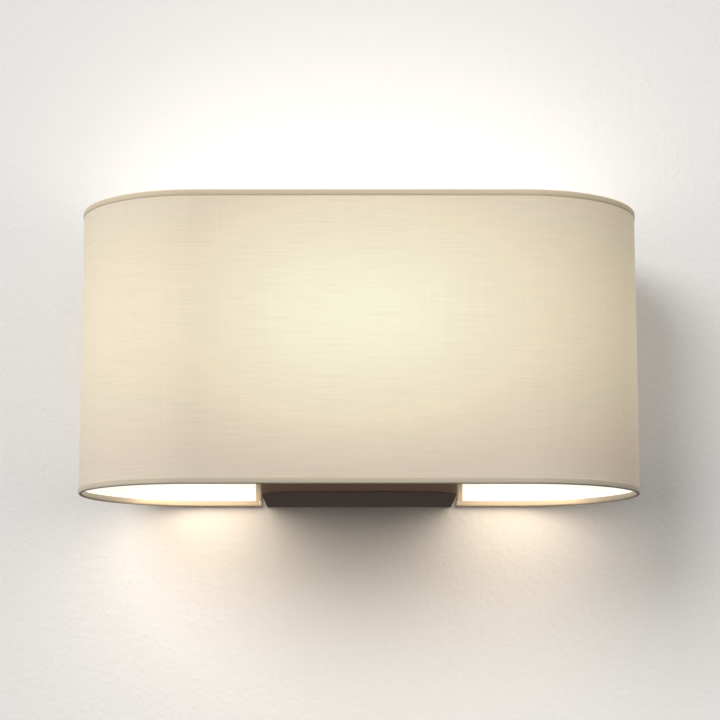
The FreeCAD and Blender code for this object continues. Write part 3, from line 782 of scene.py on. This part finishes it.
def rim_tape(name, edge_z, way, open_half):
    half = HALF_ROUND - open_half
    places = np.linspace(-half, half, RIM_STATIONS)
    stations = [(u, (u, 0.0, edge_z), (0, 1, 0), (0, 0, way)) for u in places]
    tape = swept(name, stations, closed=open_half == 0.0)
    wrapped(tape, tape_cloth)
    outward(tape, merge=SEAM_MERGE)
    shade_smooth(tape, TAPE_SHARP)
    return tape


def cutout_stations():
    """Up one side of the cut-out, round both corners and down the other side."""
    spring = CUTOUT_TOP - CUTOUT_CORNER
    reach = CUTOUT_HALF - CUTOUT_CORNER
    upright = np.linspace(cutout_trim_low.z, spring, SIDE_STATIONS)
    edge = [(-CUTOUT_HALF, z, 180.0) for z in upright[:-1]]
    edge += [(-reach, spring, angle) for angle in np.linspace(180.0, 90.0, SIDE_STATIONS)]
    edge += [(x, CUTOUT_TOP, 90.0) for x in np.linspace(-reach, reach, TOP_STATIONS)[1:-1]]
    edge += [(reach, spring, angle) for angle in np.linspace(90.0, 0.0, SIDE_STATIONS)]
    edge += [(CUTOUT_HALF, z, 0.0) for z in upright[-2::-1]]
    stations, distance, last = [], 0.0, None
    for x, z, degrees in edge:
        away = Vector((math.cos(math.radians(degrees)), 0.0, math.sin(math.radians(degrees))))
        in_corner = abs(abs(x) - reach) < 1e-9 and abs(z - spring) < 1e-9
        origin = Vector((x, BACK_Y, z)) + away * (CUTOUT_CORNER if in_corner else 0.0)
        distance += (origin - last).length if last else 0.0
        last = origin
        stations.append((distance, origin, (0, -1, 0), away))
    return stations


top_tape = rim_tape("top_edge_tape", rim_high, -1, 0.0)
bottom_tape = rim_tape("bottom_edge_tape", rim_low, 1, CUTOUT_HALF)
cutout_tape = swept("cutout_edge_tape", cutout_stations(), closed=False)
cutout_tape.data.materials.append(tape_cloth)
outward(cutout_tape)
shade_smooth(cutout_tape, TAPE_SHARP)
print("three tapes,", sum(len(t.data.polygons) for t in (top_tape, bottom_tape, cutout_tape)), "faces")

# %% [markdown]
#
# The fabric is one sheet, held stretched by the film and the rings. The tapes go with it. Each
# cloth piece rides with the fitting and takes the place of its CAD piece, which is hidden.

# %% Ride and replace
def stands_for(piece, node):
    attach(piece, "fitting")
    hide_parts(node)


stands_for(fabric, "shade_fabric")
stands_for(lining, "shade_lining")
stands_for(top_tape, "top_trim")
stands_for(bottom_tape, "bottom_trim")
stands_for(cutout_tape, "cutout_trim")

# %% [markdown]
# ## Screw threads
#
# The lamp caps, the lampholders' skirts and the nipples are threaded. A thread is a rule: the
# radius swells and sinks with the height, and the wave moves on by one pitch in each turn. The
# tree pushes the points of a turned blank in and out along that wave, between two heights.

# %% Thread tree
RUN_IN_TURNS = 0.6


def thread_tree():
    labels = ("Axis X", "Axis Y", "Pitch", "Depth", "Low", "High", "Inner Radius")
    tree, given = new_tree("screw thread", labels)
    place = add_node(tree, "GeometryNodeInputPosition").outputs[0]
    at = add_node(tree, "ShaderNodeSeparateXYZ", {0: place}).outputs
    x = calculate(tree, "SUBTRACT", at["X"], given["Axis X"])
    y = calculate(tree, "SUBTRACT", at["Y"], given["Axis Y"])
    squares = calculate(tree, "MULTIPLY_ADD", x, x, calculate(tree, "MULTIPLY", y, y))
    radius = calculate(tree, "SQRT", squares)
    turn = calculate(tree, "ARCTAN2", y, x)
    climb = calculate(tree, "MULTIPLY", calculate(tree, "DIVIDE", at["Z"], given["Pitch"]), 2 * math.pi)
    wave = calculate(tree, "COSINE", calculate(tree, "SUBTRACT", climb, turn))

    def rises(value, start, end):
        node = add_node(
            tree, "ShaderNodeMapRange", {"Value": value, "From Min": start, "From Max": end},
            interpolation_type="SMOOTHSTEP"
        )
        return node.outputs[0]

    run_in = calculate(tree, "MULTIPLY", given["Pitch"], RUN_IN_TURNS)
    starts = rises(at["Z"], given["Low"], calculate(tree, "ADD", given["Low"], run_in))
    ends = rises(at["Z"], given["High"], calculate(tree, "SUBTRACT", given["High"], run_in))
    outside = calculate(tree, "GREATER_THAN", radius, given["Inner Radius"])
    within = calculate(tree, "MULTIPLY", calculate(tree, "MULTIPLY", starts, ends), outside)
    sunk = calculate(tree, "MULTIPLY", calculate(tree, "SUBTRACT", wave, 1.0), given["Depth"])
    half_sunk = calculate(tree, "MULTIPLY", sunk, 0.5)
    push = calculate(tree, "DIVIDE", calculate(tree, "MULTIPLY", half_sunk, within), radius)
    offset = add_node(
        tree, "ShaderNodeCombineXYZ",
        {"X": calculate(tree, "MULTIPLY", x, push), "Y": calculate(tree, "MULTIPLY", y, push)}
    ).outputs[0]
    moved = add_node(tree, "GeometryNodeSetPosition", {"Geometry": given["Geometry"], "Offset": offset})
    close_tree(tree, given, moved.outputs[0])
    return tree


thread = thread_tree()
print("tree:", thread.name)

# %% [markdown]
# The blanks are turned: a section of (radius, height) goes once round the axis. Where the thread
# will be cut, the section has a point every quarter of a millimetre. The sections repeat the CAD
# pieces' own, which are plain there, and the heights are taken from the frame.

# %% Turned blanks
TURN_STEPS = 72
FINE_STEP = 0.25 * MM
UPRIGHT_WITHIN = 0.5 * MM
THREAD_SHARP = 55.0


def finely(section):
    """Adds points along the upright runs of a section."""
    fine = []
    for (r0, z0), (r1, z1) in zip(section, section[1:] + section[:1]):
        upright = abs(r1 - r0) < UPRIGHT_WITHIN
        parts = max(1, round(abs(z1 - z0) / FINE_STEP)) if upright else 1
        fine += [(r0 + (r1 - r0) * i / parts, z0 + (z1 - z0) * i / parts) for i in range(parts)]
    return fine


def turned_blank(name, x, y, section):
    """Closed ring of section points turned once round an upright axis."""
    count = len(section)
    points, faces = [], []
    for step in range(TURN_STEPS):
        angle = 2 * math.pi * step / TURN_STEPS
        points += [(x + r * math.cos(angle), y + r * math.sin(angle), z) for r, z in section]
    for step in range(TURN_STEPS):
        a, b = step * count, (step + 1) % TURN_STEPS * count
        for i in range(count):
            j = (i + 1) % count
            faces.append((a + i, b + i, b + j, a + j))
    piece = new_piece(name, points, faces)
    outward(piece)
    return piece


def threaded(name, node, body, slot_name, section, sizes):
    low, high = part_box(node)
    x, y = (low.x + high.x) / 2, (low.y + high.y) / 2
    blank = turned_blank(name, x, y, finely([(r * MM, low.z + z * MM) for r, z in section]))
    pitch, depth, start, end, inner = sizes
    run_tree(blank, thread, {
        "Axis X": x, "Axis Y": y, "Pitch": pitch * MM, "Depth": depth * MM, "Low": low.z + start * MM,
        "High": low.z + end * MM, "Inner Radius": inner * MM, "Finish": finishes[slot_name],
    })
    shade_smooth(blank, THREAD_SHARP)
    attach(blank, body)
    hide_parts(node)
    return blank


# Sections are (radius, height) in millimetres. Threads are (pitch, depth, start, end, inner
# radius) in millimetres; the heights count from the foot of the piece.
CAP_SECTION = [
    (5.65, 0.0), (6.9, 1.4), (6.9, 16.7), (8.3, 18.3), (8.3, 19.1), (8.0, 19.1), (8.0, 18.4), (6.6, 16.8),
    (6.6, 1.7), (5.65, 0.7),
]
CAP_THREAD = (2.82, 0.55, 2.0, 16.2, 0.0)
HOLDER_SECTION = [
    (5.0, 0.0), (11.0, 0.0), (11.8, 0.8), (11.8, 6.0), (13.6, 11.0), (13.6, 39.4), (13.0, 40.0),
    (11.4, 40.0), (11.4, 12.0), (9.0, 12.0), (9.0, 8.0), (5.0, 8.0),
]
HOLDER_THREAD = (2.0, 0.5, 12.0, 39.0, 12.5)
NIPPLE_SECTION = [(3.5, 0.0), (4.9, 0.0), (4.9, 14.8), (3.5, 14.8)]
NIPPLE_THREAD = (1.0, 0.35, 0.0, 14.8, 4.2)

for side in SIDES:
    threaded(
        "lamp_cap_thread_" + side, "lamp_cap_" + side, "lamp_cap_" + side + "_screw",
        "lamp_cap_metal", CAP_SECTION, CAP_THREAD
    )
    threaded(
        "lampholder_moulding_" + side, "lampholder_" + side, "fitting",
        "holder_plastic", HOLDER_SECTION, HOLDER_THREAD
    )
    threaded(
        "nipple_thread_" + side, "nipple_" + side, "fitting",
        "plated_steel", NIPPLE_SECTION, NIPPLE_THREAD
    )
print("threaded pieces:", 3 * len(SIDES))

# %% [markdown]
# ## Welds
#
# The four arms are spot welded, to the tabs of the carrier plate and to the top ring. A weld is
# a small flattened bead. The tree sets one bead on each point; the points are read from the arms
# in the frame, so the beads sit where wire meets wire.

# %% Weld beads
BEAD_RADIUS = 1.9 * MM
FLATTENED = (1.0, 1.0, 0.6)
TAB_REACH = 30.0 * MM
TAB_LIFT = 0.3 * MM
RING_INWARD = 1.6 * MM


def bead_tree():
    tree, given = new_tree("weld beads", ("Bead Radius",))
    values = {"Segments": 14, "Rings": 8, "Radius": given["Bead Radius"]}
    ball = add_node(tree, "GeometryNodeMeshUVSphere", values).outputs["Mesh"]
    values = {"Points": given["Geometry"], "Instance": ball, "Scale": FLATTENED}
    beads = add_node(tree, "GeometryNodeInstanceOnPoints", values)
    close_tree(tree, given, beads.outputs[0])
    return tree


def weld_points():
    places = []
    plate_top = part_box("carrier_plate")[1].z
    for depth in ("front", "back"):
        for side, centre in zip(SIDES, lamp_centres):
            arm = nodes["carrier_arm_" + depth + "_" + side]
            points = np.array([v.co for v in arm.data.vertices], float)
            far = points[np.argmax(np.abs(points[:, 1] - SHADE_Y))]
            way = (Vector((far[0], far[1], 0)) - Vector((centre.x, centre.y, 0))).normalized()
            tab = centre + way * TAB_REACH
            places.append((tab.x, tab.y, plate_top + TAB_LIFT))
            places.append((far[0] - way.x * RING_INWARD, far[1] - way.y * RING_INWARD, far[2]))
    return places


weld_places = weld_points()
beads = new_piece("weld_beads", weld_places, [])
run_tree(beads, bead_tree(), {"Bead Radius": BEAD_RADIUS, "Finish": finishes["carrier_white"]})
beads.data.shade_smooth()
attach(beads, "fitting")
print("weld beads:", len(weld_places))

# %% [markdown]
# ## Room
#
# The light hangs on a plain plastered wall. The wall belongs to the room, not to the light. The
# wall is a stage piece, not part of the light. It is seen only from its room side and only by
# the camera, so that views from behind stay clear and bright. A pale floor lies far below.
# Bounced light and reflections don't see it, so that it doesn't brighten the underside of the
# casing.

# %% Wall and floor
FLOOR_Z = -1.6
ROOM_HALF = 4.0
WALL_TOP = 2.4
WALL_Y = 0.2 * MM
STIPPLE_SCALE = 250.0
STIPPLE_RELIEF = 0.8 * MM


def wall_paint():
    material = bpy.data.materials.new("plaster wall")
    material.use_nodes = True
    tree = material.node_tree
    shader = tree.nodes["Principled BSDF"]
    shader.inputs["Base Color"].default_value = (0.815, 0.812, 0.805, 1.0)
    shader.inputs["Roughness"].default_value = 0.9
    shader.inputs["Specular IOR Level"].default_value = 0.2
    place = add_node(tree, "ShaderNodeTexCoord").outputs["Object"]
    stipple = noise(tree, place, STIPPLE_SCALE, 3.0)
    values = {"Height": stipple, "Distance": STIPPLE_RELIEF, "Strength": 0.42}
    bump = add_node(tree, "ShaderNodeBump", values)
    tree.links.new(bump.outputs[0], shader.inputs["Normal"])
    surface = add_node(tree, "ShaderNodeNewGeometry").outputs
    ray = add_node(tree, "ShaderNodeLightPath").outputs
    from_room = calculate(tree, "SUBTRACT", 1.0, surface["Backfacing"])
    seen = calculate(tree, "MULTIPLY", from_room, ray["Is Camera Ray"])
    clear = add_node(tree, "ShaderNodeBsdfTransparent")
    mixed = add_node(tree, "ShaderNodeMixShader", {0: seen, 1: clear.outputs[0], 2: shader.outputs[0]})
    tree.links.new(mixed.outputs[0], tree.nodes["Material Output"].inputs["Surface"])
    return material


wall = new_piece(
    "wall",
    [(-ROOM_HALF, WALL_Y, FLOOR_Z), (ROOM_HALF, WALL_Y, FLOOR_Z), (ROOM_HALF, WALL_Y, WALL_TOP),
     (-ROOM_HALF, WALL_Y, WALL_TOP)],
    [(0, 1, 2, 3)],
)
wall.data.materials.append(wall_paint())
floor = new_piece(
    "floor",
    [(-ROOM_HALF, -ROOM_HALF, FLOOR_Z), (ROOM_HALF, -ROOM_HALF, FLOOR_Z), (ROOM_HALF, ROOM_HALF, FLOOR_Z),
     (-ROOM_HALF, ROOM_HALF, FLOOR_Z)],
    [(0, 1, 2, 3)],
)
floor.data.materials.append(hard_finish("pale floor", (0.78, 0.77, 0.75), 0.8, grain=12.0, tone=0.01))
floor.visible_diffuse = False
floor.visible_glossy = False

# %% [markdown]
# ## Light
#
# The room is bright above and dim below, so that the underside of the casing stays dark. A key
# sun from the upper left and a weak fill from the left light the front. The camera, glass and
# reflections see one even backdrop instead of the room.
#
# The two lamps are a small light in each globe and flat lights at the openings of the shade. A
# light in the globes strong enough for the wall would turn the inside of the shade pure white.
# The globes cast no shadow, because their own skins would block the light inside them.

# %% Lights
def new_light(name, kind, energy, colour, **settings):
    data = bpy.data.lights.new(name, kind)
    data.energy = energy
    data.color = colour
    for label, value in settings.items():
        setattr(data, label, value)
    lamp = bpy.data.objects.new(name, data)
    bpy.context.scene.collection.objects.link(lamp)
    return lamp


def new_sun(name, energy, colour, spread, direction):
    sun = new_light(name, "SUN", energy, colour, angle=math.radians(spread))
    sun.rotation_mode = "QUATERNION"
    sun.rotation_quaternion = Vector(direction).to_track_quat("-Z", "Y")


def new_panel(name, radiance, colour, place, size, turn):
    """A flat light, equally bright all over, that the camera doesn't see."""
    energy = radiance * math.pi * size[0] * size[1]
    panel = new_light(name, "AREA", energy, colour, shape="RECTANGLE", size=size[0])
    panel.data.size_y = size[1]
    panel.location = place
    panel.rotation_euler = (turn, 0.0, 0.0)
    panel.visible_camera = False


ROOM_ABOVE = 0.92
ROOM_BELOW = 0.03
ROOM_BLEND = 0.3
BACKDROP = 0.93
LAMP_POWER = 0.035
LAMP_COLOUR = (1.0, 0.85, 0.69)
GLOBE_RADIUS = 22.5 * MM
LIGHT_GAP = 0.3 * MM
TOP_RADIANCE = 1.15
TOP_SIZE = ((STRAIGHT + END_RADIUS * 0.7) * 2, END_RADIUS * 1.7)
SPILL_COLOUR = (1.0, 0.79, 0.58)
# A well is an opening beside the casing: name, radiance, tilt in degrees, centre and size in
# millimetres.
WELLS = (
    ("left", 2.7, 14.0, (-104.0, -62.0), (76.0, 106.0)),
    ("right", 2.4, 14.0, (104.0, -62.0), (76.0, 106.0)),
    ("front", 4.8, 0.0, (0.0, -127.0), (118.0, 42.0)),
)

world = bpy.data.worlds.new("room")
bpy.context.scene.world = world
world.use_nodes = True
room = world.node_tree
path = add_node(room, "ShaderNodeLightPath").outputs
seen = calculate(room, "MAXIMUM", path["Is Camera Ray"], path["Is Transmission Ray"])
seen = calculate(room, "MAXIMUM", seen, path["Is Glossy Ray"])
direction = add_node(
    room, "ShaderNodeSeparateXYZ", {0: add_node(room, "ShaderNodeTexCoord").outputs["Object"]}
).outputs["Z"]
ambient = add_node(
    room, "ShaderNodeMapRange",
    {"Value": direction, "From Min": -ROOM_BLEND, "From Max": ROOM_BLEND, "To Min": ROOM_BELOW,
     "To Max": ROOM_ABOVE}
).outputs[0]
strength = add_node(
    room, "ShaderNodeMapRange", {"Value": seen, "To Min": ambient, "To Max": BACKDROP}
).outputs[0]
backdrop = room.nodes["Background"]
backdrop.inputs["Color"].default_value = (1.0, 0.995, 0.985, 1.0)
room.links.new(strength, backdrop.inputs["Strength"])

new_sun("key", 1.6, (1.0, 0.99, 0.97), 28.0, (0.62, 1.0, -0.58))
new_sun("fill", 0.35, (0.96, 0.98, 1.0), 40.0, (1.0, 0.25, -0.10))
for side, centre in zip(SIDES, lamp_centres):
    lamp = new_light(
        "lamp_light_" + side, "POINT", LAMP_POWER, LAMP_COLOUR, shadow_soft_size=GLOBE_RADIUS
    )
    lamp.location = centre
    nodes["lamp_globe_" + side].visible_shadow = False
for name, radiance, tilt, (x, y), (width, depth) in WELLS:
    place = (x * MM, y * MM, rim_low - LIGHT_GAP)
    size = (width * MM, depth * MM)
    new_panel("spill_" + name, radiance, SPILL_COLOUR, place, size, math.radians(tilt))
top_place = (0.0, SHADE_Y, rim_high + LIGHT_GAP)
new_panel("spill_top", TOP_RADIANCE, LAMP_COLOUR, top_place, TOP_SIZE, math.pi)

# %% [markdown]
# ## Finish
#
# The picture uses the plain Standard view.

# %% Finish
bpy.context.scene.view_settings.view_transform = "Standard"
